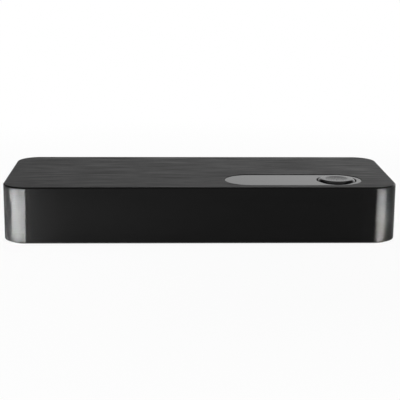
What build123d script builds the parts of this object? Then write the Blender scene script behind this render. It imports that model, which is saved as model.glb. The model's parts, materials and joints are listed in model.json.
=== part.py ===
from build123d import *
import os

# A small video switch box: two inputs and one output at the back, one push button on top.
# Millimetres. X runs along the box, the front faces -Y, the sockets face +Y, Z is up.
# The origin is on the table, under the middle of the box.

os.makedirs("parts", exist_ok=True)

# Housing: roof and four walls in one moulding, open below
case_width = 100.0
case_depth = 40.0
case_height = 14.4
corner_radius = 6.0
wall = 1.8
roof = 2.0
top_edge_radius = 0.4
rim_edge_radius = 0.3

# Base cover, let into the housing's rim and standing a little proud of it
cover_thickness = 1.4
cover_proud = 0.4
cover_lip = 0.9
cover_clearance = 0.1
cover_edge = 0.25

# Rubber feet, each in a shallow round seat
foot_diameter = 8.0
foot_thickness = 1.0
foot_proud = 0.5
foot_inset_x = 13.5
foot_inset_y = 8.0
foot_clearance = 0.1
foot_edge = 0.2

# Indicator window: a round-ended plate sunk into the roof, on a ring of tape
window_length = 35.5
window_width = 13.0
window_right_inset = 8.15
window_front_inset = 2.8
window_recess = 0.1
window_thickness = 0.85
window_clearance = 0.05
tape_thickness = 0.15
tape_inset = 0.3

# Push button, in the middle of the window's right round end
button_diameter = 10.0
button_gap = 0.15
button_proud = 0.45
button_round = 1.15
button_skin = 1.2
dish_diameter = 5.7
dish_depth = 0.12
flange_width = 0.9
flange_thickness = 0.5
stem_diameter = 3.2
stem_length = 0.9
stem_gap = 0.03
collar_clearance = 0.3
collar_wall = 0.8
collar_depth = 1.0

# Circuit board on four posts of the base cover
board_thickness = 1.6
board_clearance = 1.2
post_height = 2.0
post_diameter = 5.0
post_side_inset = 6.0
post_rear_inset = 6.5
post_front_inset = 12.0

# Corner bosses of the housing, which take the case screws
boss_diameter = 5.5
boss_inset = 4.8
boss_clearance = 0.6

# Screws: countersunk ones close the case, pan-headed ones hold the board
screw_diameter = 2.0
screw_head_diameter = 3.8
screw_clearance = 0.05
screw_sink = 0.1
screw_tip = 0.6
hole_clearance = 0.2
case_screw_length = 8.0
pan_head_height = 1.3
pan_head_round = 0.5
pan_screw_bite = 0.2
pilot_spare = 0.2
cross_length = 2.2
cross_width = 0.5
cross_depth = 0.5

# Sockets: a stamped shell, a moulded insulator with a tongue, nineteen contacts
socket_post_gap = 4.7
mouth_width = 14.0
mouth_height = 4.55
mouth_slant_width = 1.5
mouth_slant_height = 1.75
mouth_corner_radius = 0.5
shell_wall = 0.4
shell_length = 12.0
port_clearance = 0.15
leg_width = 1.2
leg_below_board = 0.5
leg_slot_clearance = 0.15
leg_front_inset = 5.0
leg_back_inset = 2.0
finger_width = 1.6
finger_length = 4.4
finger_spacing = 6.4
finger_slot = 0.3
finger_mouth_inset = 2.6
insulator_depth = 4.5
insulator_clearance = 0.05
tongue_width = 10.9
tongue_thickness = 1.2
tongue_mouth_inset = 0.9
contact_pitch = 1.0
contact_width = 0.32
contact_thickness = 0.18
contact_tip_inset = 0.5
tail_gap = 0.25
tail_foot = 0.9
upper_contacts = 10
lower_contacts = 9

# Push switch on the board
switch_side = 6.0
switch_base_height = 3.2
switch_cover_thickness = 0.3
switch_clip_length = 1.5
switch_clip_width = 2.4
switch_well_diameter = 4.8
switch_well_depth = 1.9
plunger_diameter = 3.5
plunger_gap = 0.1
plunger_flange_diameter = 4.3
plunger_flange_thickness = 0.6
plunger_edge = 0.2
nub_diameter = 1.4
press_travel = 0.3
dome_diameter = 4.2
dome_pressed_height = 0.3
dome_thickness = 0.12
terminal_width = 0.7
terminal_thickness = 0.3
terminal_pitch = 4.5
terminal_below_board = 1.0
terminal_drop = 1.0
terminal_hole_clearance = 0.15

# Lamps and the clear guide that takes their light to the window
lamp_pitch = 9.0
lamp_length = 3.2
lamp_width = 1.6
lamp_base_height = 0.5
lamp_lens_length = 2.0
lamp_lens_height = 0.6
lamp_gap = 0.3
guide_diameter = 3.0
guide_clearance = 0.1
guide_web_thickness = 1.0
guide_web_width = 4.2
guide_pin_diameter = 1.2
guide_pin_spacing = 4.0
guide_pin_spare = 0.3

# Small parts on the board: length, width and height of each kind
part_seat = 0.1
lead_thickness = 0.15
lead_reach = 1.0
lead_foot = 0.5
switching_chip_side = 10.0
switching_chip_height = 1.4
switching_chip_lead_count = 16
switching_chip_lead_pitch = 0.5
switching_chip_lead_width = 0.22
control_chip_length = 4.9
control_chip_width = 3.9
control_chip_height = 1.5
control_chip_lead_count = 4
control_chip_lead_pitch = 1.27
control_chip_lead_width = 0.4
regulator_length = 6.5
regulator_width = 3.5
regulator_height = 1.6
regulator_lead_count = 3
regulator_lead_pitch = 2.3
regulator_lead_width = 0.7
array_length = 2.5
array_width = 1.0
array_height = 0.55
array_spacing = 6.0
diode_length = 1.7
diode_width = 1.25
diode_height = 0.9
diode_side_step = 6.2
bulk_length = 3.2
bulk_width = 1.6
bulk_height = 1.6
chip_part_length = 1.6
chip_part_width = 0.8
capacitor_height = 0.8
resistor_height = 0.45
passive_pitch = 2.0
row_gap = 0.7
decoupling_gap = 2.0
decoupling_pitch = 3.0

# Places along the board, as shares of its length to either side of the middle
switching_chip_share = -0.19
control_chip_share = 0.075
regulator_share = -0.6
bulk_shares = (-0.76, -0.44)

# One overrun serves every cut
cut = 1.0

# Heights, from the table up
cover_bottom = foot_proud
cover_top = cover_bottom + cover_thickness
rim_z = cover_bottom + cover_proud
case_top = rim_z + case_height
roof_underside = case_top - roof
board_bottom = cover_top + post_height
board_top = board_bottom + board_thickness
mouth_z = board_top + shell_wall + mouth_height / 2
window_top = case_top - window_recess
window_underside = window_top - window_thickness
ledge_top = window_underside - tape_thickness
button_top = window_top + button_proud
switch_top = board_top + switch_base_height
flange_bottom = roof_underside - flange_thickness
plunger_top = flange_bottom - stem_length - stem_gap
well_floor = switch_top - switch_well_depth
dome_height = dome_pressed_height + press_travel

# Places in plan
rear_y = case_depth / 2
cavity_width = case_width - 2 * wall
cavity_depth = case_depth - 2 * wall
board_width = cavity_width - 2 * board_clearance
board_depth = cavity_depth - 2 * board_clearance
window_x = case_width / 2 - window_right_inset - window_length / 2
window_y = window_front_inset + window_width / 2 - case_depth / 2
window_end_step = (window_length - window_width) / 2
button_x = window_x + window_end_step
lamp_x = window_x - window_end_step
lamp_places = (lamp_x, lamp_x + lamp_pitch)
boss_x = case_width / 2 - boss_inset
boss_y = case_depth / 2 - boss_inset
foot_x = case_width / 2 - foot_inset_x
foot_y = case_depth / 2 - foot_inset_y
post_x = board_width / 2 - post_side_inset
post_rear_y = board_depth / 2 - post_rear_inset
post_front_y = post_front_inset - board_depth / 2
post_places = [(side * post_x, y) for side in (-1, 1) for y in (post_front_y, post_rear_y)]
corner_signs = [(sx, sy) for sx in (-1, 1) for sy in (-1, 1)]
shell_half_width = mouth_width / 2 + shell_wall
socket_pitch = post_x - screw_head_diameter / 2 - socket_post_gap - shell_half_width
socket_places = {"socket_1": -socket_pitch, "socket_2": 0, "socket_common": socket_pitch}
shell_back_y = rear_y - shell_length
tail_y = shell_back_y - tail_gap
tail_end_y = tail_y - contact_thickness - tail_foot
array_y = tail_end_y - row_gap - array_width / 2
passive_y = array_y - array_width / 2 - row_gap - chip_part_length / 2
chip_row_y = (passive_y - chip_part_length / 2 - board_depth / 2) / 2
button_hole = button_diameter + 2 * button_gap
flange_diameter = button_diameter + 2 * flange_width


def block(length, width, height, x, y, bottom):
    """A plain block, centred in plan on x, y and standing on the height given."""
    return Pos(x, y, bottom + height / 2) * Box(length, width, height)


def disc(diameter, height, x, y, bottom):
    """An upright cylinder standing on the height given."""
    return Pos(x, y, bottom + height / 2) * Cylinder(diameter / 2, height)


def rounded_block(width, depth, radius, bottom, top):
    """An upright block with round corners, between two heights."""
    return Pos(0, 0, bottom) * extrude(RectangleRounded(width, depth, radius), amount=top - bottom)


def round_ended(length, width, bottom, top):
    """A round-ended plate on the window's centre, between two heights."""
    outline = Pos(window_x, window_y, bottom) * SlotOverall(length, width)
    return extrude(outline, amount=top - bottom)


def save(name, pieces):
    """Write one node: a single solid, or a group of separate ones."""
    solids = pieces if isinstance(pieces, list) else [pieces]
    bodies = [solid for piece in solids for solid in piece.solids()]
    node = bodies[0] if len(bodies) == 1 else Compound(children=bodies)
    node.label = name
    export_step(node, "parts/" + name + ".step")


# Profile of a socket's mouth, on the plane of the rear wall's outer face
def mouth_profile(grow):
    half = mouth_width / 2
    up = mouth_height / 2
    points = [
        (mouth_slant_width - half, -up),
        (half - mouth_slant_width, -up),
        (half, mouth_slant_height - up),
        (half, up),
        (-half, up),
        (-half, mouth_slant_height - up),
    ]
    outline = Polygon(*points, align=None)
    outline = fillet(outline.vertices(), mouth_corner_radius)
    return offset(outline, amount=grow) if grow else outline


def mouth_prism(grow, from_y, to_y):
    """The mouth's profile, grown all round, as a prism between two places along Y."""
    plane = Plane(origin=(0, from_y, mouth_z), x_dir=(1, 0, 0), z_dir=(0, -1, 0))
    return extrude(plane * mouth_profile(grow), amount=from_y - to_y)


# Housing
def make_housing():
    body = rounded_block(case_width, case_depth, corner_radius, rim_z, case_top)
    body = fillet(body.edges().group_by(Axis.Z)[-1], top_edge_radius)
    body = fillet(body.edges().group_by(Axis.Z)[0], rim_edge_radius)
    body -= rounded_block(cavity_width, cavity_depth, corner_radius - wall, rim_z - cut, roof_underside)
    rebate = 2 * cover_lip
    body -= rounded_block(
        case_width - rebate, case_depth - rebate, corner_radius - cover_lip, rim_z - cut, cover_top
    )
    for sx, sy in corner_signs:
        body += disc(boss_diameter, roof - top_edge_radius + roof_underside - cover_top,
                     sx * boss_x, sy * boss_y, cover_top)
    for sx, sy in corner_signs:
        body -= disc(screw_diameter + 2 * screw_clearance, case_screw_length + pilot_spare,
                     sx * boss_x, sy * boss_y, cover_bottom + screw_sink)
    body += collar_and_pins()
    body -= round_ended(window_length, window_width, ledge_top, case_top + cut)
    body -= disc(button_hole, roof + 2 * cut, button_x, window_y, roof_underside - cut)
    for x in lamp_places:
        body -= disc(guide_diameter + 2 * guide_clearance, roof + 2 * cut, x, window_y,
                     roof_underside - cut)
    for x in socket_places.values():
        body -= Pos(x, 0, 0) * mouth_prism(shell_wall + port_clearance, rear_y + cut, rear_y - wall - cut)
    return body


# Under the roof: the collar that keeps the button upright, and the light guide's two pins
def collar_and_pins():
    inner = flange_diameter + 2 * collar_clearance
    lap = (ledge_top - roof_underside) / 2
    height = collar_depth + lap
    collar = disc(inner + 2 * collar_wall, height, button_x, window_y, roof_underside - collar_depth)
    collar -= disc(inner, collar_depth, button_x, window_y, roof_underside - collar_depth)
    middle = sum(lamp_places) / 2
    drop = guide_web_thickness + guide_pin_spare
    for side in (-1, 1):
        x = middle + side * guide_pin_spacing / 2
        collar += disc(guide_pin_diameter, drop + lap, x, window_y, roof_underside - drop)
    return collar


# Base cover
def make_base_cover():
    inset = 2 * (cover_lip + cover_clearance)
    radius = corner_radius - inset / 2
    plate = rounded_block(case_width - inset, case_depth - inset, radius, cover_bottom, cover_top)
    plate = chamfer(plate.edges().group_by(Axis.Z)[0], cover_edge)
    for x, y in post_places:
        plate += disc(post_diameter, post_height, x, y, cover_top)
    for x, y in post_places:
        depth = post_height + pan_screw_bite + pilot_spare
        plate -= disc(screw_diameter + 2 * screw_clearance, depth + cut, x, y, board_bottom - depth)
    head = screw_head_diameter / 2
    shank = screw_diameter / 2
    for sx, sy in corner_signs:
        x, y = sx * boss_x, sy * boss_y
        plate -= disc(screw_diameter + 2 * hole_clearance, cover_thickness + 2 * cut, x, y,
                      cover_bottom - cut)
        depth = head - shank + screw_sink
        plate -= Pos(x, y, cover_bottom + depth / 2) * Cone(
            head + screw_clearance + screw_sink, shank + screw_clearance, depth
        )
        seat = foot_thickness - foot_proud
        plate -= disc(foot_diameter + 2 * foot_clearance, seat + cut, sx * foot_x, sy * foot_y,
                      cover_bottom - cut)
    return plate


def make_foot(sx, sy):
    foot = disc(foot_diameter, foot_thickness, sx * foot_x, sy * foot_y, 0)
    return fillet(foot.edges().group_by(Axis.Z)[0], foot_edge)


# Indicator window and the tape under it, both pierced for the button
def make_window():
    gap = 2 * window_clearance
    plate = round_ended(window_length - gap, window_width - gap, window_underside, window_top)
    return plate - disc(button_hole, window_thickness + 2 * cut, button_x, window_y,
                        window_underside - cut)


def make_tape():
    gap = 2 * tape_inset
    tape = round_ended(window_length - gap, window_width - gap, ledge_top, window_underside)
    hole = button_hole + 2 * tape_inset
    tape -= disc(hole, tape_thickness + 2 * cut, button_x, window_y, ledge_top - cut)
    for x in lamp_places:
        tape -= disc(guide_diameter + 2 * guide_clearance, tape_thickness + 2 * cut, x, window_y,
                     ledge_top - cut)
    return tape


# Button cap: a dished top, a skirt with a flange that stops under the roof, a stem to the switch
def make_button_cap():
    cap = disc(button_diameter, button_top - flange_bottom, button_x, window_y, flange_bottom)
    cap = fillet(cap.edges().group_by(Axis.Z)[-1], button_round)
    cap += disc(flange_diameter, flange_thickness, button_x, window_y, flange_bottom)
    hollow = button_top - button_skin - dish_depth - flange_bottom
    cap -= disc(button_diameter - 2 * button_skin, hollow + cut, button_x, window_y, flange_bottom - cut)
    stem_bottom = plunger_top + stem_gap
    cap += disc(stem_diameter, flange_bottom + hollow + dish_depth - stem_bottom, button_x, window_y,
                stem_bottom)
    half = dish_diameter / 2
    dish_radius = (half * half + dish_depth * dish_depth) / (2 * dish_depth)
    cap -= Pos(button_x, window_y, button_top + dish_radius - dish_depth) * Sphere(dish_radius)
    return cap


# Circuit board, notched round the corner bosses and pierced for legs, terminals and screws
def make_board():
    board = block(board_width, board_depth, board_thickness, 0, 0, board_bottom)
    through = board_thickness + 2 * cut
    below = board_bottom - cut
    for sx, sy in corner_signs:
        board -= disc(boss_diameter + 2 * boss_clearance, through, sx * boss_x, sy * boss_y, below)
    for x, y in post_places:
        board -= disc(screw_diameter + 2 * hole_clearance, through, x, y, below)
    slot = shell_wall + 2 * leg_slot_clearance
    for centre in socket_places.values():
        for x, y in leg_places():
            board -= block(slot, leg_width + 2 * leg_slot_clearance, through, centre + x, y, below)
    for x, y in terminal_places():
        board -= block(terminal_thickness + 2 * terminal_hole_clearance,
                       terminal_width + 2 * terminal_hole_clearance, through, x, y, below)
    return board


# Sockets
def leg_places():
    """Centres of a shell's four legs, beside its two side walls."""
    x = shell_half_width - shell_wall / 2
    rows = (rear_y - leg_front_inset, shell_back_y + leg_back_inset)
    return [(side * x, y) for side in (-1, 1) for y in rows]


def make_shell(centre):
    shell = mouth_prism(shell_wall, rear_y, shell_back_y) - mouth_prism(0, rear_y + cut, shell_back_y - cut)
    leg_bottom = board_bottom - leg_below_board
    for x, y in leg_places():
        shell += block(shell_wall, leg_width, mouth_z - leg_bottom, x, y, leg_bottom)
    finger_y = rear_y - finger_mouth_inset - finger_length / 2
    top = mouth_z + mouth_height / 2
    for side in (-1, 1):
        x = side * finger_spacing / 2
        for edge in (-1, 1):
            slot_x = x + edge * (finger_width + finger_slot) / 2
            shell -= block(finger_slot, finger_length, shell_wall + 2 * cut, slot_x, finger_y, top - cut)
        end_y = finger_y - (finger_length - finger_slot) / 2
        shell -= block(finger_width + finger_slot, finger_slot, shell_wall + 2 * cut, x, end_y, top - cut)
    return Pos(centre, 0, 0) * shell


def contact(x, surface):
    """One contact: along the tongue, out behind the shell, down and onto the board."""
    tip_y = rear_y - tongue_mouth_inset - contact_tip_inset
    back_y = tail_y - contact_thickness
    points = [
        (tip_y, surface),
        (back_y, surface),
        (back_y, board_top + contact_thickness),
        (tail_end_y, board_top + contact_thickness),
        (tail_end_y, board_top),
        (tail_y, board_top),
        (tail_y, surface - contact_thickness),
        (tip_y, surface - contact_thickness),
    ]
    strip = Plane.YZ * Polygon(*points, align=None)
    return Pos(x, 0, 0) * extrude(strip, amount=contact_width / 2, both=True)


def make_contacts(centre):
    upper = mouth_z + tongue_thickness / 2
    lower = mouth_z - tongue_thickness / 2 + contact_thickness
    strips = []
    for count, surface in ((upper_contacts, upper), (lower_contacts, lower)):
        for index in range(count):
            x = centre + (index - (count - 1) / 2) * contact_pitch
            strips.append(contact(x, surface))
    return strips


def make_insulator(centre, strips):
    back = mouth_prism(-insulator_clearance, shell_back_y + insulator_depth, shell_back_y)
    length = shell_length - tongue_mouth_inset
    tongue = block(tongue_width, length, tongue_thickness, 0, shell_back_y + length / 2,
                   mouth_z - tongue_thickness / 2)
    body = Pos(centre, 0, 0) * (back + tongue)
    for strip in strips:
        body -= strip
    return body


# Push switch
def make_switch_base():
    base = block(switch_side, switch_side, switch_base_height, button_x, window_y, board_top)
    return base - disc(switch_well_diameter, switch_well_depth + cut, button_x, window_y, well_floor)


def make_switch_cover():
    wide = switch_side + 2 * switch_cover_thickness
    cover = block(switch_side, wide, switch_cover_thickness, button_x, window_y, switch_top)
    for side in (-1, 1):
        y = window_y + side * (switch_side + switch_cover_thickness) / 2
        cover += block(switch_clip_width, switch_cover_thickness, switch_clip_length, button_x, y,
                       switch_top - switch_clip_length)
    hole = plunger_diameter + 2 * plunger_gap
    return cover - disc(hole, switch_cover_thickness + 2 * cut, button_x, window_y, switch_top - cut)


def make_plunger():
    shoulder = switch_top - plunger_flange_thickness
    dome_top = well_floor + dome_height
    body = disc(plunger_diameter, plunger_top - shoulder, button_x, window_y, shoulder)
    body = fillet(body.edges().group_by(Axis.Z)[-1], plunger_edge)
    body += disc(plunger_flange_diameter, plunger_flange_thickness, button_x, window_y, shoulder)
    return body + disc(nub_diameter, shoulder - dome_top, button_x, window_y, dome_top)


def make_dome():
    """A thin spherical cap, standing on its rim on the floor of the switch's well."""
    half = dome_diameter / 2
    radius = (half * half + dome_height * dome_height) / (2 * dome_height)
    centre = Pos(button_x, window_y, well_floor + dome_height - radius)
    shell = centre * Sphere(radius) - centre * Sphere(radius - dome_thickness)
    return shell & disc(dome_diameter, dome_height, button_x, window_y, well_floor)


def terminal_places():
    """Centres of the switch's four terminals, beside its left and right faces."""
    x = (switch_side + terminal_thickness) / 2
    return [(button_x + sx * x, window_y + sy * terminal_pitch / 2) for sx, sy in corner_signs]


def make_terminals():
    bottom = board_bottom - terminal_below_board
    height = board_top + terminal_drop - bottom
    return [block(terminal_thickness, terminal_width, height, x, y, bottom) for x, y in terminal_places()]


# Lamps and light guide
def make_lamp(x):
    lamp = block(lamp_length, lamp_width, lamp_base_height, x, window_y, board_top)
    return lamp + block(lamp_lens_length, lamp_width, lamp_lens_height, x, window_y,
                        board_top + lamp_base_height)


def make_light_guide():
    first, last = lamp_places
    web = block(last - first, guide_web_width, guide_web_thickness, (first + last) / 2, window_y,
                roof_underside - guide_web_thickness)
    bottom = board_top + lamp_base_height + lamp_lens_height + lamp_gap
    for x in lamp_places:
        web += disc(guide_web_width, guide_web_thickness, x, window_y, roof_underside - guide_web_thickness)
        web += disc(guide_diameter, window_underside - bottom, x, window_y, bottom)
    for side in (-1, 1):
        x = (first + last) / 2 + side * guide_pin_spacing / 2
        web -= disc(guide_pin_diameter + 2 * screw_clearance, guide_web_thickness + 2 * cut, x, window_y,
                    roof_underside - guide_web_thickness - cut)
    return web


# Chips with bent leads
def lead_row(count, pitch, width, half_body, height):
    """Bent leads along the +Y side of a body centred on the origin, on a board at height zero."""
    middle = part_seat + height / 2
    foot_y = half_body + lead_reach
    knee_y = foot_y - lead_foot
    points = [
        (half_body - lead_thickness, middle),
        (knee_y, middle),
        (knee_y, lead_thickness),
        (foot_y, lead_thickness),
        (foot_y, 0),
        (knee_y - lead_thickness, 0),
        (knee_y - lead_thickness, middle - lead_thickness),
        (half_body - lead_thickness, middle - lead_thickness),
    ]
    bent = extrude(Plane.YZ * Polygon(*points, align=None), amount=width / 2, both=True)
    return [Pos((index - (count - 1) / 2) * pitch, 0, 0) * bent for index in range(count)]


def make_chip(length, width, height, leads, pitch, lead_width, four_sided):
    chip = block(length, width, height, 0, 0, part_seat)
    rows = [(0, width), (180, width)]
    if four_sided:
        rows += [(90, length), (270, length)]
    for turn, across in rows:
        for lead in lead_row(leads, pitch, lead_width, across / 2, height):
            chip += Rot(0, 0, turn) * lead
    return chip


def on_board(piece, share):
    """Place a part in the chip row, at a share of the board's half length."""
    return Pos(share * board_width / 2, chip_row_y, board_top) * piece


# Small parts that every socket has beside its tails
def socket_rows():
    arrays, diodes, resistors, capacitors = [], [], [], []
    for centre in socket_places.values():
        for side in (-1, 1):
            x = centre + side * array_spacing / 2
            arrays.append(block(array_length, array_width, array_height, x, array_y, board_top))
            x = centre + side * 5 * passive_pitch / 2
            capacitors.append(block(chip_part_width, chip_part_length, capacitor_height, x, passive_y,
                                    board_top))
        diodes.append(block(diode_length, diode_width, diode_height, centre + diode_side_step, array_y,
                            board_top))
        for step in (-3, -1, 1, 3):
            x = centre + step * passive_pitch / 2
            resistors.append(block(chip_part_width, chip_part_length, resistor_height, x, passive_y,
                                   board_top))
    x = switching_chip_share * board_width / 2 - switching_chip_side / 2 - decoupling_gap
    for step in (-1, 0, 1):
        y = chip_row_y + step * decoupling_pitch
        capacitors.append(block(chip_part_length, chip_part_width, capacitor_height, x, y, board_top))
    return arrays, diodes, resistors, capacitors


# Screws
def cross_recess(bottom):
    """Two crossed slots, as deep as the screw's recess, standing on the height given."""
    slots = block(cross_length, cross_width, cross_depth + cut, 0, 0, bottom)
    return slots + block(cross_width, cross_length, cross_depth + cut, 0, 0, bottom)


def shank(length, bottom):
    """A screw's shank with a blunt tip, pointing up."""
    tip = screw_diameter / 4
    body = disc(screw_diameter, length - screw_tip, 0, 0, bottom)
    return body + Pos(0, 0, bottom + length - screw_tip / 2) * Cone(screw_diameter / 2, tip, screw_tip)


def make_case_screw():
    head = screw_head_diameter / 2
    depth = head - screw_diameter / 2
    screw = Pos(0, 0, depth / 2) * Cone(head, screw_diameter / 2, depth)
    screw += shank(case_screw_length - depth, depth)
    return screw - cross_recess(-cut)


def make_board_screw():
    length = board_thickness + post_height + pan_screw_bite
    head = disc(screw_head_diameter, pan_head_height, 0, 0, 0)
    head = fillet(head.edges().group_by(Axis.Z)[-1], pan_head_round)
    head -= cross_recess(pan_head_height - cross_depth)
    return head + Rot(180, 0, 0) * shank(length, 0)


save("housing", make_housing())
save("base_cover", make_base_cover())
for side_name, sx in (("left", -1), ("right", 1)):
    save("foot_front_" + side_name, make_foot(sx, -1))
    save("foot_rear_" + side_name, make_foot(sx, 1))

save("window", make_window())
save("window_tape", make_tape())
save("button_cap", make_button_cap())
save("light_guide", make_light_guide())

save("circuit_board", make_board())
for socket_name, socket_x in socket_places.items():
    contacts = make_contacts(socket_x)
    save(socket_name + "_shell", make_shell(socket_x))
    save(socket_name + "_insulator", make_insulator(socket_x, contacts))
    save(socket_name + "_contacts", contacts)

save("switch_base", make_switch_base())
save("switch_cover", make_switch_cover())
save("switch_plunger", make_plunger())
save("switch_dome", make_dome())
save("switch_terminals", make_terminals())

save("led_1", make_lamp(lamp_places[0]))
save("led_2", make_lamp(lamp_places[1]))

save("switching_chip", on_board(
    make_chip(switching_chip_side, switching_chip_side, switching_chip_height, switching_chip_lead_count,
              switching_chip_lead_pitch, switching_chip_lead_width, True), switching_chip_share))
save("control_chip", on_board(
    make_chip(control_chip_length, control_chip_width, control_chip_height, control_chip_lead_count,
              control_chip_lead_pitch, control_chip_lead_width, False), control_chip_share))
save("regulator", on_board(
    make_chip(regulator_length, regulator_width, regulator_height, regulator_lead_count,
              regulator_lead_pitch, regulator_lead_width, False), regulator_share))
save("bulk_capacitors", [
    on_board(block(bulk_width, bulk_length, bulk_height, 0, 0, 0), share) for share in bulk_shares])
surge_arrays, steering_diodes, resistors, small_capacitors = socket_rows()
save("surge_arrays", surge_arrays)
save("steering_diodes", steering_diodes)
save("resistors", resistors)
save("small_capacitors", small_capacitors)

case_screw = make_case_screw()
save("case_screws", [
    Pos(sx * boss_x, sy * boss_y, cover_bottom + screw_sink) * case_screw for sx, sy in corner_signs])
board_screw = make_board_screw()
save("board_screws", [Pos(x, y, board_top) * board_screw for x, y in post_places])
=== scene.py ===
import json
import math

import bmesh
import bpy
from bpy.props import FloatProperty, FloatVectorProperty, PointerProperty
from mathutils import Matrix, Vector

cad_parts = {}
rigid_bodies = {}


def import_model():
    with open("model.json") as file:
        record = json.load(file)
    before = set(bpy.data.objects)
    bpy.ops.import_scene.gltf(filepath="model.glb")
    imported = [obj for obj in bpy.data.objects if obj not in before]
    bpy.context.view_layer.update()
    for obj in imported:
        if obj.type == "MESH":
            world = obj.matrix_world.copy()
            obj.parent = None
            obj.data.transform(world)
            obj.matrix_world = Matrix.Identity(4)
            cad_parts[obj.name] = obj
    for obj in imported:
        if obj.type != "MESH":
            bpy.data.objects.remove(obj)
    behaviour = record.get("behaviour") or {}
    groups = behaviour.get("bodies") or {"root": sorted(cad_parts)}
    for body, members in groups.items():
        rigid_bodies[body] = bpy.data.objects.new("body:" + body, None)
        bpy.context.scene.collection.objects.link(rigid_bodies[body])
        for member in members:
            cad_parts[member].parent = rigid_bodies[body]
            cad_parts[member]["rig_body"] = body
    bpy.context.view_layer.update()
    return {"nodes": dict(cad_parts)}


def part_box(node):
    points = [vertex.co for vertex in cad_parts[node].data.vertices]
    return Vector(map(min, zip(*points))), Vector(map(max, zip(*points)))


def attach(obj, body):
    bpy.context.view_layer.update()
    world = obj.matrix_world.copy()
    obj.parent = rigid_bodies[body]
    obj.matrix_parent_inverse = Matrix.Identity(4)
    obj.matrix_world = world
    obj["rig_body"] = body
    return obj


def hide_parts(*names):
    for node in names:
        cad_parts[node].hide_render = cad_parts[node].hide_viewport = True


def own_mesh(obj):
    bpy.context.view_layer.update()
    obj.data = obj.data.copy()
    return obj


bl_info = {
    "name": "Video switch box",
    "version": (1, 0, 0),
    "blender": (4, 5, 0),
    "location": "View3D > Sidebar > Switch Box",
    "description": "Dresses a small black video switch box and sets up its stage",
    "category": "Object",
}

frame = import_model()
MM = 0.001
SOCKETS = ("socket_1", "socket_2", "socket_common")
FEET = ("foot_front_left", "foot_front_right", "foot_rear_left", "foot_rear_right")
UP, DOWN = (0, 0, 1), (0, 0, -1)
# Angles between faces. Below FLAT they are one flat face, below CURVED they are parts of a curved
# wall, above SHARP their edge gets rounded, and above CRISP an edge that stays shades as an edge.
FLAT, CURVED = math.radians(0.5), math.radians(30)
SHARP, CRISP = math.radians(40), math.radians(35)


# Colours, nodes and materials


def linear(code):
    """An sRGB hex colour as a linear colour."""
    parts = [int(code[i:i + 2], 16) / 255 for i in (1, 3, 5)]
    values = [v / 12.92 if v <= 0.04045 else ((v + 0.055) / 1.055) ** 2.4 for v in parts]
    return (*values, 1.0)


def add(tree, kind, inputs=None, **settings):
    """Adds one node with its settings, and its inputs as values or as links from other sockets."""
    made = tree.nodes.new(kind)
    for name, value in settings.items():
        setattr(made, name, value)
    for name, value in (inputs or {}).items():
        if isinstance(value, bpy.types.NodeSocket):
            tree.links.new(value, made.inputs[name])
        else:
            made.inputs[name].default_value = value
    return made


def start_material(name, **values):
    """A material with only its shader in it: returns the material, its tree and the shader."""
    material = bpy.data.materials.new(name)
    material.use_nodes = True
    tree = material.node_tree
    tree.nodes.clear()
    shader = add(tree, "ShaderNodeBsdfPrincipled", values)
    add(tree, "ShaderNodeOutputMaterial", {"Surface": shader.outputs[0]})
    return material, tree, shader


def connect(tree, shader, **sockets):
    """Links outputs to the shader's inputs; an underscore in a name stands for a space."""
    for name, output in sockets.items():
        tree.links.new(output, shader.inputs[name.replace("_", " ")])


def millimetres(tree, stretch):
    """A piece's own coordinates in millimetres, each divided by its stretch."""
    place = add(tree, "ShaderNodeTexCoord")
    scale = [1 / (length * MM) for length in stretch]
    return add(tree, "ShaderNodeMapping", {"Vector": place.outputs["Object"], "Scale": scale}).outputs[0]


def noise(tree, stretch, detail=2.0, roughness=0.5):
    """A noise between 0 and 1, stretched to so many millimetres along X, Y and Z."""
    return add(tree, "ShaderNodeTexNoise", {
        "Vector": millimetres(tree, stretch), "Scale": 1.0, "Detail": detail,
        "Roughness": roughness}).outputs[0]


def remap(tree, value, source=(0.0, 1.0), target=(0.0, 1.0), **settings):
    """Carries the range source over to the range target, and keeps values beyond it at its ends."""
    return add(tree, "ShaderNodeMapRange", {
        "Value": value, "From Min": source[0], "From Max": source[1],
        "To Min": target[0], "To Max": target[1]}, **settings).outputs[0]


def mix(tree, factor, first, second):
    """The first value where the factor is 0, and the second where it is 1."""
    return add(tree, "ShaderNodeMix", {0: factor, 2: first, 3: second}).outputs[0]


def mix_colours(tree, factor, first, second):
    """The first colour where the factor is 0, and the second where it is 1."""
    return add(tree, "ShaderNodeMix", {0: factor, 6: first, 7: second}, data_type="RGBA").outputs[2]


def mix_shaders(tree, factor, first, second):
    """The first shader where the factor is 0, and the second where it is 1."""
    return add(tree, "ShaderNodeMixShader", {0: factor, 1: first, 2: second}).outputs[0]


def calculate(tree, operation, first, second):
    """The result of one operation on two values."""
    return add(tree, "ShaderNodeMath", {0: first, 1: second}, operation=operation).outputs[0]


def bump(tree, height, relief, strength=1.0):
    """Turns a height between 0 and 1 into a relief of so many millimetres."""
    return add(tree, "ShaderNodeBump", {
        "Height": height, "Strength": strength, "Distance": relief * MM}).outputs[0]


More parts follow.
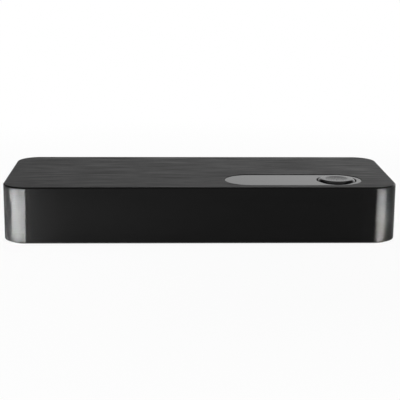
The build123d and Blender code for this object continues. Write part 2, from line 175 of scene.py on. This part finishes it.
def case_abs(settings):
    """Black ABS from a tool with a brushed roof and upright stoned walls.

    The roof shows fine uneven lines along its length and reads grey under a light backdrop. The
    walls stay near black, and their fine upright grain draws lights at the corners into bands.
    The lines are coarse ones, as from brushing by hand, so that they still show when the roof is
    seen at a low angle.
    """
    material, tree, shader = start_material(
        "ABS brushed roof", **{"IOR": 1.53, "Specular IOR Level": 0.3})
    normal = add(tree, "ShaderNodeNewGeometry")
    facing = add(tree, "ShaderNodeSeparateXYZ", {"Vector": normal.outputs["Normal"]})
    roof = remap(tree, facing.outputs["Z"], source=(0.9, 0.99))
    width, length = settings.line_width / MM, settings.line_length / MM
    lines = noise(tree, (length, width, 5), detail=5.0, roughness=0.72)
    deep = remap(tree, lines, source=(0.32, 0.68))
    rough_roof = remap(tree, deep, target=(0.31, 0.61))
    satin = noise(tree, (9, 9, 30), detail=4.0)
    rough_wall = remap(tree, satin, source=(0.3, 0.7), target=(0.125, 0.15))
    stoned = noise(tree, (0.35, 0.35, 14), detail=3.0)
    height = mix(tree, roof, stoned, lines)
    strength = remap(tree, roof, target=(0.06, 0.5))
    connect(tree, shader,
            Base_Color=mix_colours(tree, deep, (*settings.case_colour, 1), linear("#101010")),
            Roughness=mix(tree, roof, rough_wall, rough_roof),
            Normal=bump(tree, height, relief=0.05, strength=strength))
    return material


def grained(name, colours, roughness, grain, relief, stretch=(1, 1, 1), **values):
    """A material with an even grain: its two colours mix by the grain, and so does its relief.

    Grain and relief are in millimetres. The roughness wanders by a tenth over broad patches, as
    it does on a moulded or rolled face. Other values go on the shader's own sockets.
    """
    material, tree, shader = start_material(name, **values)
    fine = noise(tree, [grain * factor for factor in stretch], detail=3.0, roughness=0.6)
    level = remap(tree, fine, source=(0.3, 0.7))
    broad = noise(tree, (6, 6, 6))
    wander = remap(tree, broad, source=(0.3, 0.7), target=(0.9 * roughness, 1.1 * roughness))
    connect(tree, shader, Base_Color=mix_colours(tree, level, linear(colours[0]), linear(colours[1])),
            Roughness=wander, Normal=bump(tree, fine, relief))
    return material


def smoked_acrylic(settings):
    """Smoked acrylic with a polished face: near black in itself, it mirrors the backdrop as grey."""
    material, tree, shader = start_material("Acrylic smoked polished", **{
        "Base Color": (*settings.window_colour, 1), "IOR": 1.45})
    haze = noise(tree, (3, 3, 3), detail=4.0)
    sink = noise(tree, (8, 8, 8))
    connect(tree, shader, Roughness=remap(tree, haze, source=(0.35, 0.65), target=(0.035, 0.07)),
            Normal=bump(tree, sink, relief=0.006, strength=0.3))
    return material


def button_abs(settings, x, y, dish):
    """Black ABS with a polished rim around a satin dish.

    The rim mirrors like the window beside it, and the dish reads a shade darker and even, with the
    fine haze of a blasted mould. Its border is a soft step a fifth of a millimetre wide.
    """
    material, tree, shader = start_material("ABS polished", **{
        "Base Color": (*settings.button_colour, 1), "IOR": 1.5})
    place = add(tree, "ShaderNodeTexCoord")
    centred = add(tree, "ShaderNodeMapping", {
        "Vector": place.outputs["Object"], "Location": (-x, -y, 0), "Scale": (1, 1, 0)})
    away = add(tree, "ShaderNodeVectorMath", {0: centred.outputs[0]}, operation="LENGTH")
    half_step = 0.1 * MM
    satin = remap(tree, away.outputs["Value"], source=(dish - half_step, dish + half_step),
                  target=(1.0, 0.0))
    haze = noise(tree, (0.6, 0.6, 0.6), detail=4.0)
    level = remap(tree, haze, source=(0.35, 0.65))
    rough_rim = remap(tree, level, target=(0.07, 0.12))
    rough_dish = remap(tree, level, target=(0.26, 0.32))
    connect(tree, shader, Roughness=mix(tree, satin, rough_rim, rough_dish))
    return material


def clear_acrylic():
    """Clear cast acrylic with a moulded skin: it passes the lamps' light, with a soft haze."""
    material, tree, shader = start_material("Acrylic clear moulded", **{
        "Base Color": linear("#f2f5f6"), "IOR": 1.49, "Transmission Weight": 0.95})
    haze = noise(tree, (0.6, 0.6, 0.6))
    connect(tree, shader, Roughness=remap(tree, haze, target=(0.04, 0.12)))
    return material


def board_lacquer():
    """Epoxy board under green solder lacquer: lighter and higher where a copper track lies under it."""
    material, tree, shader = start_material("Epoxy board lacquered", **{"IOR": 1.55})
    tracks = add(tree, "ShaderNodeTexVoronoi", {
        "Vector": millimetres(tree, (2.5, 2.5, 2.5)), "Scale": 1.0, "Randomness": 0.85},
        feature="DISTANCE_TO_EDGE")
    copper = remap(tree, tracks.outputs[0], source=(0.05, 0.08), target=(1.0, 0.0))
    weave = noise(tree, (0.5, 0.5, 0.5))
    connect(tree, shader, Base_Color=mix_colours(tree, copper, linear("#0f4a2c"), linear("#23704a")),
            Roughness=remap(tree, weave, target=(0.22, 0.34)),
            Normal=bump(tree, copper, relief=0.03, strength=0.7))
    return material


# Pieces


def dress(material, *nodes):
    """Gives frame nodes, or new pieces, their material in every slot."""
    for node in nodes:
        piece = frame["nodes"][node] if isinstance(node, str) else node
        if not piece.data.materials:
            piece.data.materials.append(material)
        for slot in piece.material_slots:
            slot.material = material


def place_piece(work, name, node):
    """Turns a mesh in the making into a piece that rides with a frame node and stands for it."""
    mesh = bpy.data.meshes.new(name)
    shading = [face.smooth for face in work.faces]
    work.to_mesh(mesh)
    work.free()
    carried = mesh.attributes.get("custom_normal")
    if carried:
        mesh.attributes.remove(carried)
    mesh.set_sharp_from_angle(angle=CRISP)
    mesh.polygons.foreach_set("use_smooth", shading)
    piece = bpy.data.objects.new(name, mesh)
    bpy.context.scene.collection.objects.link(piece)
    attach(piece, frame["nodes"][node]["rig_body"])
    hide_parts(node)
    return piece


def rounded_copy(node, name, width):
    """A copy of a frame node with its sharp edges rounded off.

    Flat faces keep a flat look, and only the rounded edges and the curved walls shade smoothly.
    """
    same_point, segments = 0.001 * MM, 3
    work = bmesh.new()
    work.from_mesh(frame["nodes"][node].data)
    bmesh.ops.remove_doubles(work, verts=work.verts, dist=same_point)
    bmesh.ops.dissolve_limit(work, angle_limit=FLAT, verts=work.verts, edges=work.edges)
    for face in work.faces:
        angles = [edge.calc_face_angle(0) for edge in face.edges]
        face.smooth = any(FLAT < angle < CURVED for angle in angles)
    sharp = [edge for edge in work.edges if edge.calc_face_angle(0) > SHARP]
    made = bmesh.ops.bevel(
        work, geom=sharp, offset=width, offset_type="OFFSET", segments=segments, profile=0.5,
        affect="EDGES", clamp_overlap=True, material=-1)
    for face in made["faces"]:
        face.smooth = True
    return place_piece(work, name, node)


def frame_flange_bottom(low, high):
    """The underside of the flange, read from the frame's button: its lowest point at full width."""
    middle = (low + high) / 2
    slack = 0.01 * MM
    reach = (high.x - low.x) / 2 - slack
    points = [vert.co for vert in frame["nodes"]["button_cap"].data.vertices]
    return min(p.z for p in points if (p.xy - middle.xy).length > reach)


def turned_button(sizes):
    """The push button turned from its half profile. Returns it with its middle in X and Y."""
    low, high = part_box("button_cap")
    x, y = (low.x + high.x) / 2, (low.y + high.y) / 2
    flange_radius = (high.x - low.x) / 2
    radius = flange_radius - sizes.flange
    flange_low = frame_flange_bottom(low, high)
    flange_high = flange_low + sizes.flange_thickness
    ceiling = high.z - sizes.button_skin - sizes.dish_depth
    half = sizes.dish / 2
    ball = (half ** 2 + sizes.dish_depth ** 2) / (2 * sizes.dish_depth)
    dish_steps, turn_steps, same_point = 10, 120, 0.0005 * MM

    work = bmesh.new()
    middle = work.verts.new((x, y, high.z - sizes.dish_depth))
    bmesh.ops.spin(
        work, geom=[middle], cent=(x, y, high.z - sizes.dish_depth + ball), axis=(0, 1, 0),
        dvec=(0, 0, 0), angle=-math.asin(half / ball), steps=dish_steps, use_merge=False,
        use_duplicate=False)
    work.verts.ensure_lookup_table()
    last = max(work.verts, key=lambda vert: vert.co.x)
    corners = {"dish": last}
    # Each corner's distance from the middle and its height
    profile = (
        ("rim", radius, high.z), ("side", radius, flange_high),
        ("flange_top", flange_radius, flange_high), ("flange_low", flange_radius, flange_low),
        ("skirt", radius - sizes.button_skin, flange_low),
        ("inside", radius - sizes.button_skin, ceiling),
        ("root", sizes.stem / 2, ceiling), ("tip", sizes.stem / 2, low.z), ("end", 0.0, low.z),
    )
    for name, reach, height in profile:
        corner = work.verts.new((x + reach, y, height))
        work.edges.new((last, corner))
        corners[name] = last = corner
    # Each rounded corner's radius and number of steps
    rounding = {
        "dish": (0.25 * MM, 4), "rim": (sizes.button_round, 10), "flange_top": (0.08 * MM, 2),
        "flange_low": (0.08 * MM, 2), "tip": (0.2 * MM, 3),
    }
    for name, (offset, segments) in rounding.items():
        bmesh.ops.bevel(
            work, geom=[corners[name]], offset=offset, offset_type="OFFSET", segments=segments,
            profile=0.5, affect="VERTICES", clamp_overlap=True, material=-1)
    bmesh.ops.spin(
        work, geom=work.verts[:] + work.edges[:], cent=(x, y, 0), axis=UP, dvec=(0, 0, 0),
        angle=math.tau, steps=turn_steps, use_merge=True, use_duplicate=False)
    bmesh.ops.remove_doubles(work, verts=work.verts, dist=same_point)
    bmesh.ops.recalc_face_normals(work, faces=work.faces)
    for face in work.faces:
        face.smooth = True
    return place_piece(work, "button_cap_turned", "button_cap"), x, y


def sprung_dome():
    """A copy of the switch's snap dome, with a mesh of its own."""
    work = bmesh.new()
    work.from_mesh(frame["nodes"]["switch_dome"].data)
    dome = place_piece(work, "switch_dome_sprung", "switch_dome")
    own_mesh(dome)
    return dome


# Settings


def length_property(name, description, value):
    """A length, its default given in millimetres."""
    return FloatProperty(
        name=name, description=description, subtype="DISTANCE", unit="LENGTH", default=value * MM)


def angle_property(name, description, degrees):
    """An angle, its default given in degrees."""
    return FloatProperty(
        name=name, description=description, subtype="ANGLE", default=math.radians(degrees))


def colour_property(name, description, code):
    """A colour, its default given as an sRGB hex colour."""
    return FloatVectorProperty(
        name=name, description=description, size=3, subtype="COLOR", min=0, max=1,
        default=linear(code)[:3])


class SwitchBoxColours(bpy.types.PropertyGroup):
    """Colours and finishes of the pieces that show."""

    case_colour: colour_property("Case colour", "Body colour of the black housing", "#070707")
    window_colour: colour_property("Window colour", "Body colour of the smoked window", "#101010")
    button_colour: colour_property("Button colour", "Body colour of the push button", "#080808")
    line_width: length_property("Line width", "Width of the widest brushed lines of the roof", 0.6)
    line_length: length_property("Line length", "Length of the brushed lines of the roof", 16)


class SwitchBoxSizes(bpy.types.PropertyGroup):
    """Sizes of the rounded and turned pieces, and the button's travel."""

    button_round: length_property("Button rounding", "Radius of the button's upper rim", 1.15)
    button_skin: length_property("Button skin", "Wall thickness of the button", 1.2)
    flange: length_property("Button flange", "How far the flange reaches beyond the button's side", 0.9)
    flange_thickness: length_property("Flange thickness", "Thickness of the button's flange", 0.5)
    dish: length_property("Dish width", "Diameter of the dish in the button's top", 5.7)
    dish_depth: length_property("Dish depth", "Depth of the dish in the button's top", 0.12)
    stem: length_property("Stem width", "Diameter of the stem under the button", 3.2)
    travel: length_property("Travel", "How far the button goes down", 0.3)
    window_edge: length_property("Window edge", "Rounding of the window's edges", 0.08)
    shell_edge: length_property("Socket edge", "Rounding of the sockets' mouths", 0.09)


class SwitchBoxStage(bpy.types.PropertyGroup):
    """The camera and the lights."""

    camera_place: FloatVectorProperty(
        name="Camera place", description="Where the camera stands", size=3, subtype="TRANSLATION",
        unit="LENGTH", default=(-9.176 * MM, -291.224 * MM, 75.970 * MM))
    camera_tilt: angle_property("Camera tilt", "How far the camera looks down", 13.247)
    camera_pan: angle_property("Camera pan", "How far the camera looks to the right", 1.884)
    camera_roll: angle_property("Camera roll", "How far the camera is rolled", 0.410)
    lens: FloatProperty(
        name="Lens", description="Focal length in millimetres on a 36 mm wide sensor", default=100.206)
    left_card: FloatProperty(
        name="Left card", description="Brightness of the white card at the left", default=11.3)
    right_card: FloatProperty(
        name="Right card", description="Brightness of the white card at the right", default=9.0)
    overhead: FloatProperty(
        name="Overhead", description="Brightness of the soft lamp over the box", default=0.4)
    fill: FloatProperty(
        name="Fill", description="Brightness of the soft lamp that only matt surfaces show", default=1.6)
    underneath: FloatProperty(
        name="Underneath", description="Brightness of the lamp under the floor", default=1.5)
    glow: FloatProperty(
        name="Glow", description="Brightness of the low lamp for the floor at the front left", default=0.6)


# Operators


class SWITCHBOX_OT_housing(bpy.types.Operator):
    """Finish the housing, the upper case shell with its brushed roof"""

    bl_idname = "switchbox.housing"
    bl_label = "Housing"

    def execute(self, context):
        dress(case_abs(context.scene.switch_box_colours), "housing")
        return {"FINISHED"}


class SWITCHBOX_OT_underside(bpy.types.Operator):
    """Finish the base cover, its screws and the four rubber feet"""

    bl_idname = "switchbox.underside"
    bl_label = "Underside"

    def execute(self, context):
        # Black ABS with a spark-eroded face: a dull even pebble a little lighter on its peaks
        eroded = grained(
            "ABS spark eroded", ("#090909", "#151515"), roughness=0.52, grain=0.28, relief=0.012,
            IOR=1.53)
        dress(eroded, "base_cover")
        # Moulded rubber: the dullest black on the box, with a fine bloom
        rubber = grained(
            "Rubber moulded", ("#101010", "#1d1d1d"), roughness=0.82, grain=0.15, relief=0.006,
            IOR=1.52)
        dress(rubber, *FEET)
        # Steel with a black oxide: a dark oily sheen on the countersunk heads
        oxide = grained(
            "Steel black oxide", ("#17171a", "#2b2b2e"), roughness=0.36, grain=0.2, relief=0.002,
            Metallic=1.0)
        dress(oxide, "case_screws")
        return {"FINISHED"}


class SWITCHBOX_OT_window(bpy.types.Operator):
    """Make the smoked window, and finish its tape and the light guide under it"""

    bl_idname = "switchbox.window"
    bl_label = "Window"

    def execute(self, context):
        edge = context.scene.switch_box_sizes.window_edge
        window = rounded_copy("window", "window_polished", edge)
        dress(smoked_acrylic(context.scene.switch_box_colours), window)
        # Foam tape: dead matt black
        foam = grained(
            "Tape black foam", ("#060606", "#101010"), roughness=0.92, grain=0.3, relief=0.01)
        dress(foam, "window_tape")
        dress(clear_acrylic(), "light_guide")
        return {"FINISHED"}


class SWITCHBOX_OT_button(bpy.types.Operator):
    """Turn the push button: dish, rim, skirt with its flange, and stem"""

    bl_idname = "switchbox.button"
    bl_label = "Button"

    def execute(self, context):
        sizes = context.scene.switch_box_sizes
        cap, x, y = turned_button(sizes)
        dress(button_abs(context.scene.switch_box_colours, x, y, sizes.dish / 2), cap)
        return {"FINISHED"}


class SWITCHBOX_OT_sockets(bpy.types.Operator):
    """Make the three sockets' shells and tongues, and finish their contacts"""

    bl_idname = "switchbox.sockets"
    bl_label = "Sockets"

    def execute(self, context):
        edge = context.scene.switch_box_sizes.shell_edge
        # Stamped steel under bright nickel: a warm grey mirror, with faint lines from the rolling
        nickel = grained(
            "Steel nickel plated", ("#aeaca6", "#c4c2bb"), roughness=0.24, grain=0.12, relief=0.0015,
            stretch=(1, 14, 1), Metallic=1.0)
        # Glass-filled nylon: black with a dusty grain from the fibres
        nylon = grained(
            "Nylon glass filled", ("#0b0b0b", "#1a1a1a"), roughness=0.42, grain=0.1, relief=0.003,
            IOR=1.54)
        # Gold flash over nickel: warm yellow contact springs
        gold = grained(
            "Gold plated bronze", ("#d39a3a", "#e3b65e"), roughness=0.22, grain=0.2, relief=0.001,
            Metallic=1.0)
        for name in SOCKETS:
            shell = rounded_copy(name + "_shell", name + "_shell_stamped", edge)
            tongue = rounded_copy(name + "_insulator", name + "_insulator_moulded", edge)
            dress(nickel, shell)
            dress(nylon, tongue)
            dress(gold, name + "_contacts")
        return {"FINISHED"}


class SWITCHBOX_OT_board(bpy.types.Operator):
    """Finish the circuit board, its lamps, chips and small parts, the push switch and the board screws"""

    bl_idname = "switchbox.board"
    bl_label = "Board"

    def execute(self, context):
        dress(board_lacquer(), "circuit_board")
        # Rolled stainless steel, tinned: pale, with lines along the roll
        steel = grained(
            "Steel tinned", ("#b4b4b0", "#cbcbc7"), roughness=0.3, grain=0.12, relief=0.0015,
            stretch=(12, 1, 1), Metallic=1.0)
        dome = sprung_dome()
        dress(steel, "switch_cover", "switch_terminals", dome)
        # Unfilled nylon: black with a soft sheen
        nylon = grained(
            "Nylon moulded", ("#0c0c0c", "#191919"), roughness=0.48, grain=0.1, relief=0.003, IOR=1.54)
        dress(nylon, "switch_base")
        # Waxy dark red acetal
        acetal = grained(
            "Acetal moulded", ("#8e2a22", "#a5372d"), roughness=0.38, grain=0.15, relief=0.002, IOR=1.48)
        dress(acetal, "switch_plunger")
        # Milky lamp epoxy over its pale base
        milky = grained(
            "Epoxy milky", ("#d9d9cf", "#e8e8e0"), roughness=0.24, grain=0.2, relief=0.001, IOR=1.54)
        dress(milky, "led_1", "led_2")
        # Chip moulding compound: charcoal with a sandy grain
        charcoal = grained(
            "Epoxy moulding compound", ("#131313", "#222222"), roughness=0.58, grain=0.09,
            relief=0.003, IOR=1.56)
        dress(charcoal, "switching_chip", "control_chip", "regulator", "surge_arrays", "steering_diodes")
        # Dipped and moulded tantalum blocks: ochre
        ochre = grained(
            "Epoxy ochre moulded", ("#b1812a", "#c99a3e"), roughness=0.42, grain=0.1, relief=0.003,
            IOR=1.54)
        dress(ochre, "bulk_capacitors")
        # Resistor film under black glaze
        glaze = grained(
            "Ceramic black glazed", ("#14161a", "#23262c"), roughness=0.26, grain=0.1, relief=0.001,
            IOR=1.6)
        dress(glaze, "resistors")
        # Fired tan ceramic
        fired = grained(
            "Ceramic tan fired", ("#7b6146", "#927658"), roughness=0.44, grain=0.08, relief=0.002,
            IOR=1.7)
        dress(fired, "small_capacitors")
        # Bright zinc on steel
        zinc = grained(
            "Steel zinc plated", ("#9ea2a6", "#b9bdc1"), roughness=0.3, grain=0.2, relief=0.002,
            Metallic=1.0)
        dress(zinc, "board_screws")
        return {"FINISHED"}


class SWITCHBOX_OT_stage(bpy.types.Operator):
    """Set up the floor, the backdrop, the lamps and the camera"""

    bl_idname = "switchbox.stage"
    bl_label = "Stage"

    def execute(self, context):
        scene, settings = context.scene, context.scene.switch_box_stage
        floor = paper_floor(scene)
        scene.world = studio_world()
        place_lights(scene, settings, floor)
        scene.camera = studio_camera(scene, settings)
        scene.view_settings.view_transform = "Standard"
        return {"FINISHED"}


# Stage


def paper_floor(scene):
    """A wide flat sheet of paper under the box."""
    half_width = 2.5
    work = bmesh.new()
    bmesh.ops.create_grid(work, x_segments=1, y_segments=1, size=half_width)
    mesh = bpy.data.meshes.new("Floor")
    work.to_mesh(mesh)
    work.free()
    mesh.materials.append(floor_paper())
    floor = bpy.data.objects.new("Floor", mesh)
    scene.collection.objects.link(floor)
    return floor


def floor_paper():
    """Pale matt paper. The camera sees it near white, with the box's soft shadow left on it.

    Seen from below it is clear, and it lets the lamp underneath through to the box's underside.
    """
    material, tree, shader = start_material(
        "Paper matt", **{"Base Color": linear("#b4b4b4"), "Roughness": 1.0, "Specular IOR Level": 0.0})
    path = add(tree, "ShaderNodeLightPath")
    place = add(tree, "ShaderNodeTexCoord")
    away = add(tree, "ShaderNodeVectorMath", {0: place.outputs["Object"]}, operation="LENGTH")
    share = remap(tree, away.outputs["Value"], source=(0.07, 0.18), target=(0.95, 1.0))
    lift = calculate(tree, "MULTIPLY", path.outputs["Is Camera Ray"], share)
    white = add(tree, "ShaderNodeEmission", {"Color": (1, 1, 1, 1), "Strength": 1.0})
    seen = mix_shaders(tree, lift, shader.outputs[0], white.outputs[0])
    side = add(tree, "ShaderNodeNewGeometry")
    below = calculate(tree, "MAXIMUM", path.outputs["Is Shadow Ray"], side.outputs["Backfacing"])
    clear = add(tree, "ShaderNodeBsdfTransparent")
    both = mix_shaders(tree, below, seen, clear.outputs[0])
    output = next(node for node in tree.nodes if node.type == "OUTPUT_MATERIAL")
    tree.links.new(both, output.inputs["Surface"])
    return material


def studio_world():
    """A white backdrop that gloss and light see softened.

    To them it dims towards the camera's side, to the left and upwards, and is dark below the
    floor. The camera, and what is seen through clear pieces, get plain white.
    """
    world = bpy.data.worlds.new("Studio")
    world.use_nodes = True
    tree = world.node_tree
    tree.nodes.clear()
    path = add(tree, "ShaderNodeLightPath")
    seen = calculate(
        tree, "MAXIMUM", path.outputs["Is Camera Ray"], path.outputs["Is Transmission Ray"])
    place = add(tree, "ShaderNodeTexCoord")
    parts = add(tree, "ShaderNodeSeparateXYZ", {"Vector": place.outputs["Generated"]})
    back = remap(tree, parts.outputs["Y"], source=(-0.4, 0.6), target=(0.45, 0.74),
                 interpolation_type="SMOOTHSTEP")
    side = remap(tree, parts.outputs["X"], source=(-0.5, 0.5), target=(0.5, 1.55))
    high = remap(tree, parts.outputs["Z"], source=(0.26, 0.5), target=(1.0, 0.06),
                 interpolation_type="SMOOTHSTEP")
    above = remap(tree, parts.outputs["Z"], source=(-0.05, 0.0))
    studio = back
    for share in (high, side, above):
        studio = calculate(tree, "MULTIPLY", studio, share)
    level = mix(tree, seen, studio, 1.0)
    light = add(tree, "ShaderNodeBackground", {"Color": (1, 1, 1, 1), "Strength": level})
    add(tree, "ShaderNodeOutputWorld", {"Surface": light.outputs[0]})
    return world


def lamp(scene, name, place, facing, size, radiance):
    """A soft rectangular lamp that the camera doesn't see."""
    data = bpy.data.lights.new(name, "AREA")
    data.shape = "RECTANGLE"
    data.size, data.size_y = size
    data.energy = radiance * math.pi * size[0] * size[1]
    made = bpy.data.objects.new(name, data)
    made.visible_camera = False
    made.location = place
    made.rotation_mode = "QUATERNION"
    made.rotation_quaternion = Vector(facing).to_track_quat("-Z", "Y")
    scene.collection.objects.link(made)
    return made


def card(scene, name, corner, start, stop, radiance):
    """A bright card that only shows in the gloss of the upright walls, as if it lay on the floor.

    Seen from a corner of the box it fills the angle between two bearings, in degrees from the
    front and positive to the right. It stands just under the floor's level, where the roof can't
    mirror it.
    """
    distance, bottom, top = 150 * MM, -54 * MM, -16 * MM
    middle, half = math.radians((start + stop) / 2), math.radians(abs(stop - start) / 2)
    out = Vector((math.sin(middle), -math.cos(middle), 0))
    made = lamp(scene, name, corner + out * distance + Vector((0, 0, (bottom + top) / 2)), -out,
                (2 * distance * math.tan(half), top - bottom), radiance)
    made.visible_diffuse = False
    made.data.cycles.use_multiple_importance_sampling = False
    return made


def flags(scene, *corners):
    """Black flags that keep the cards' light off the flat walls, so that it shows at the corners only.

    Beside each corner one stands out from the front wall and one from the side wall, some way along
    the wall. They slope down to the cards, and nothing but light sees them. Returns a collection that
    lets a lamp shine through them.
    """
    front_inset, side_inset, gap, reach = 9 * MM, 6.5 * MM, 0.15 * MM, 148 * MM
    top, end, bottom = 16 * MM, -14 * MM, -60 * MM
    outline = ((gap, top), (reach, end), (reach, bottom), (gap, bottom))
    work = bmesh.new()
    for corner, side in corners:
        along, ahead = Vector((side, 0, 0)), Vector((0, -1, 0))
        for start, out in ((corner - along * front_inset, ahead), (corner - ahead * side_inset, along)):
            work.faces.new([work.verts.new(start + out * far + Vector((0, 0, z))) for far, z in outline])
    mesh = bpy.data.meshes.new("Flags")
    work.to_mesh(mesh)
    work.free()
    made = bpy.data.objects.new("Flags", mesh)
    made.visible_camera = made.visible_diffuse = made.visible_glossy = made.visible_transmission = False
    scene.collection.objects.link(made)
    group = bpy.data.collections.new("Unflagged")
    group.objects.link(made)
    group.collection_objects[0].light_linking.link_state = "EXCLUDE"
    return group


def place_lights(scene, settings, floor):
    """The soft lamps, the cards at the two front corners, and the flags beside those corners.

    The flags stop the cards that would wash out the flat walls. The free cards, which only light
    the ends of the corner bands, and all other lamps shine through them.
    """
    ceiling, cellar = 0.8, -0.3
    wide, narrow = (0.9, 0.9), (0.35, 0.35)
    overhead = lamp(scene, "Overhead", (0, 0.12, ceiling), DOWN, wide, settings.overhead)
    fill = lamp(scene, "Overhead fill", (-0.1, -0.1, ceiling), DOWN, wide, settings.fill)
    fill.visible_glossy = False
    underneath = lamp(scene, "Underneath", (0, 0, cellar), UP, narrow, settings.underneath)
    low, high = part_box("housing")
    left, right = Vector((low.x, low.y, 0)), Vector((high.x, low.y, 0))
    # Each card's corner of the box, its two bearings in degrees and its brightness
    flagged = (
        ("Left card", left, -20, -84, settings.left_card),
        ("Left card middle", left, -36, -60, 0.75 * settings.left_card),
        ("Right card", right, 20, 64, settings.right_card),
        ("Right card middle", right, 31, 56, 0.15 * settings.right_card),
    )
    free = (
        ("Left card start", left, -8, -14, 1.55 * settings.left_card),
        ("Left card turn", left, -14, -20, settings.left_card),
        ("Left card edge", left, -84, -130, 0.09 * settings.left_card),
        ("Right card edge", right, 64, 110, 0.16 * settings.right_card),
    )
    for row in flagged:
        card(scene, *row)
    free_cards = [card(scene, *row) for row in free]
    glow_place, glow_size = left + Vector((-12, -35, 25)) * MM, (96 * MM, 70 * MM)
    glow = lamp(scene, "Floor glow", glow_place, DOWN, glow_size, settings.glow)
    glow.visible_glossy = False
    paper = bpy.data.collections.new("Floor only")
    paper.objects.link(floor)
    glow.light_linking.receiver_collection = paper
    unflagged = flags(scene, (left, -1), (right, 1))
    for made in (overhead, fill, underneath, glow, *free_cards):
        made.light_linking.blocker_collection = unflagged


def studio_camera(scene, settings):
    """The camera at the photograph's viewing angle."""
    data = bpy.data.cameras.new("Camera")
    data.sensor_width = 36.0
    data.lens = settings.lens
    data.clip_start, data.clip_end = 0.01, 20.0
    camera = bpy.data.objects.new("Camera", data)
    scene.collection.objects.link(camera)
    aim = Matrix.Rotation(-settings.camera_pan, 4, "Z")
    aim @= Matrix.Rotation(math.radians(90) - settings.camera_tilt, 4, "X")
    aim @= Matrix.Rotation(settings.camera_roll, 4, "Z")
    camera.matrix_world = Matrix.Translation(settings.camera_place) @ aim
    return camera


# Panel and start


class SWITCHBOX_PT_panel(bpy.types.Panel):
    """Lists the settings of the switch box and its stage"""

    bl_label = "Switch Box"
    bl_idname = "SWITCHBOX_PT_panel"
    bl_space_type = "VIEW_3D"
    bl_region_type = "UI"
    bl_category = "Switch Box"

    def draw(self, context):
        column = self.layout.column()
        for settings in SETTINGS:
            group = getattr(context.scene, settings)
            for name in group.__annotations__:
                column.prop(group, name)
        for operator in OPERATORS:
            column.operator(operator.bl_idname)


SETTINGS = {
    "switch_box_colours": SwitchBoxColours,
    "switch_box_sizes": SwitchBoxSizes,
    "switch_box_stage": SwitchBoxStage,
}
OPERATORS = (
    SWITCHBOX_OT_stage, SWITCHBOX_OT_housing, SWITCHBOX_OT_underside, SWITCHBOX_OT_window,
    SWITCHBOX_OT_button, SWITCHBOX_OT_sockets, SWITCHBOX_OT_board,
)
CLASSES = (*SETTINGS.values(), *OPERATORS, SWITCHBOX_PT_panel)


def register():
    for cls in CLASSES:
        bpy.utils.register_class(cls)
    for name, group in SETTINGS.items():
        setattr(bpy.types.Scene, name, PointerProperty(type=group))


def unregister():
    for name in SETTINGS:
        delattr(bpy.types.Scene, name)
    for cls in reversed(CLASSES):
        bpy.utils.unregister_class(cls)


def main():
    register()
    bpy.ops.switchbox.stage()
    bpy.ops.switchbox.housing()
    bpy.ops.switchbox.underside()
    bpy.ops.switchbox.window()
    bpy.ops.switchbox.button()
    bpy.ops.switchbox.sockets()
    bpy.ops.switchbox.board()


if __name__ == "__main__":
    main()
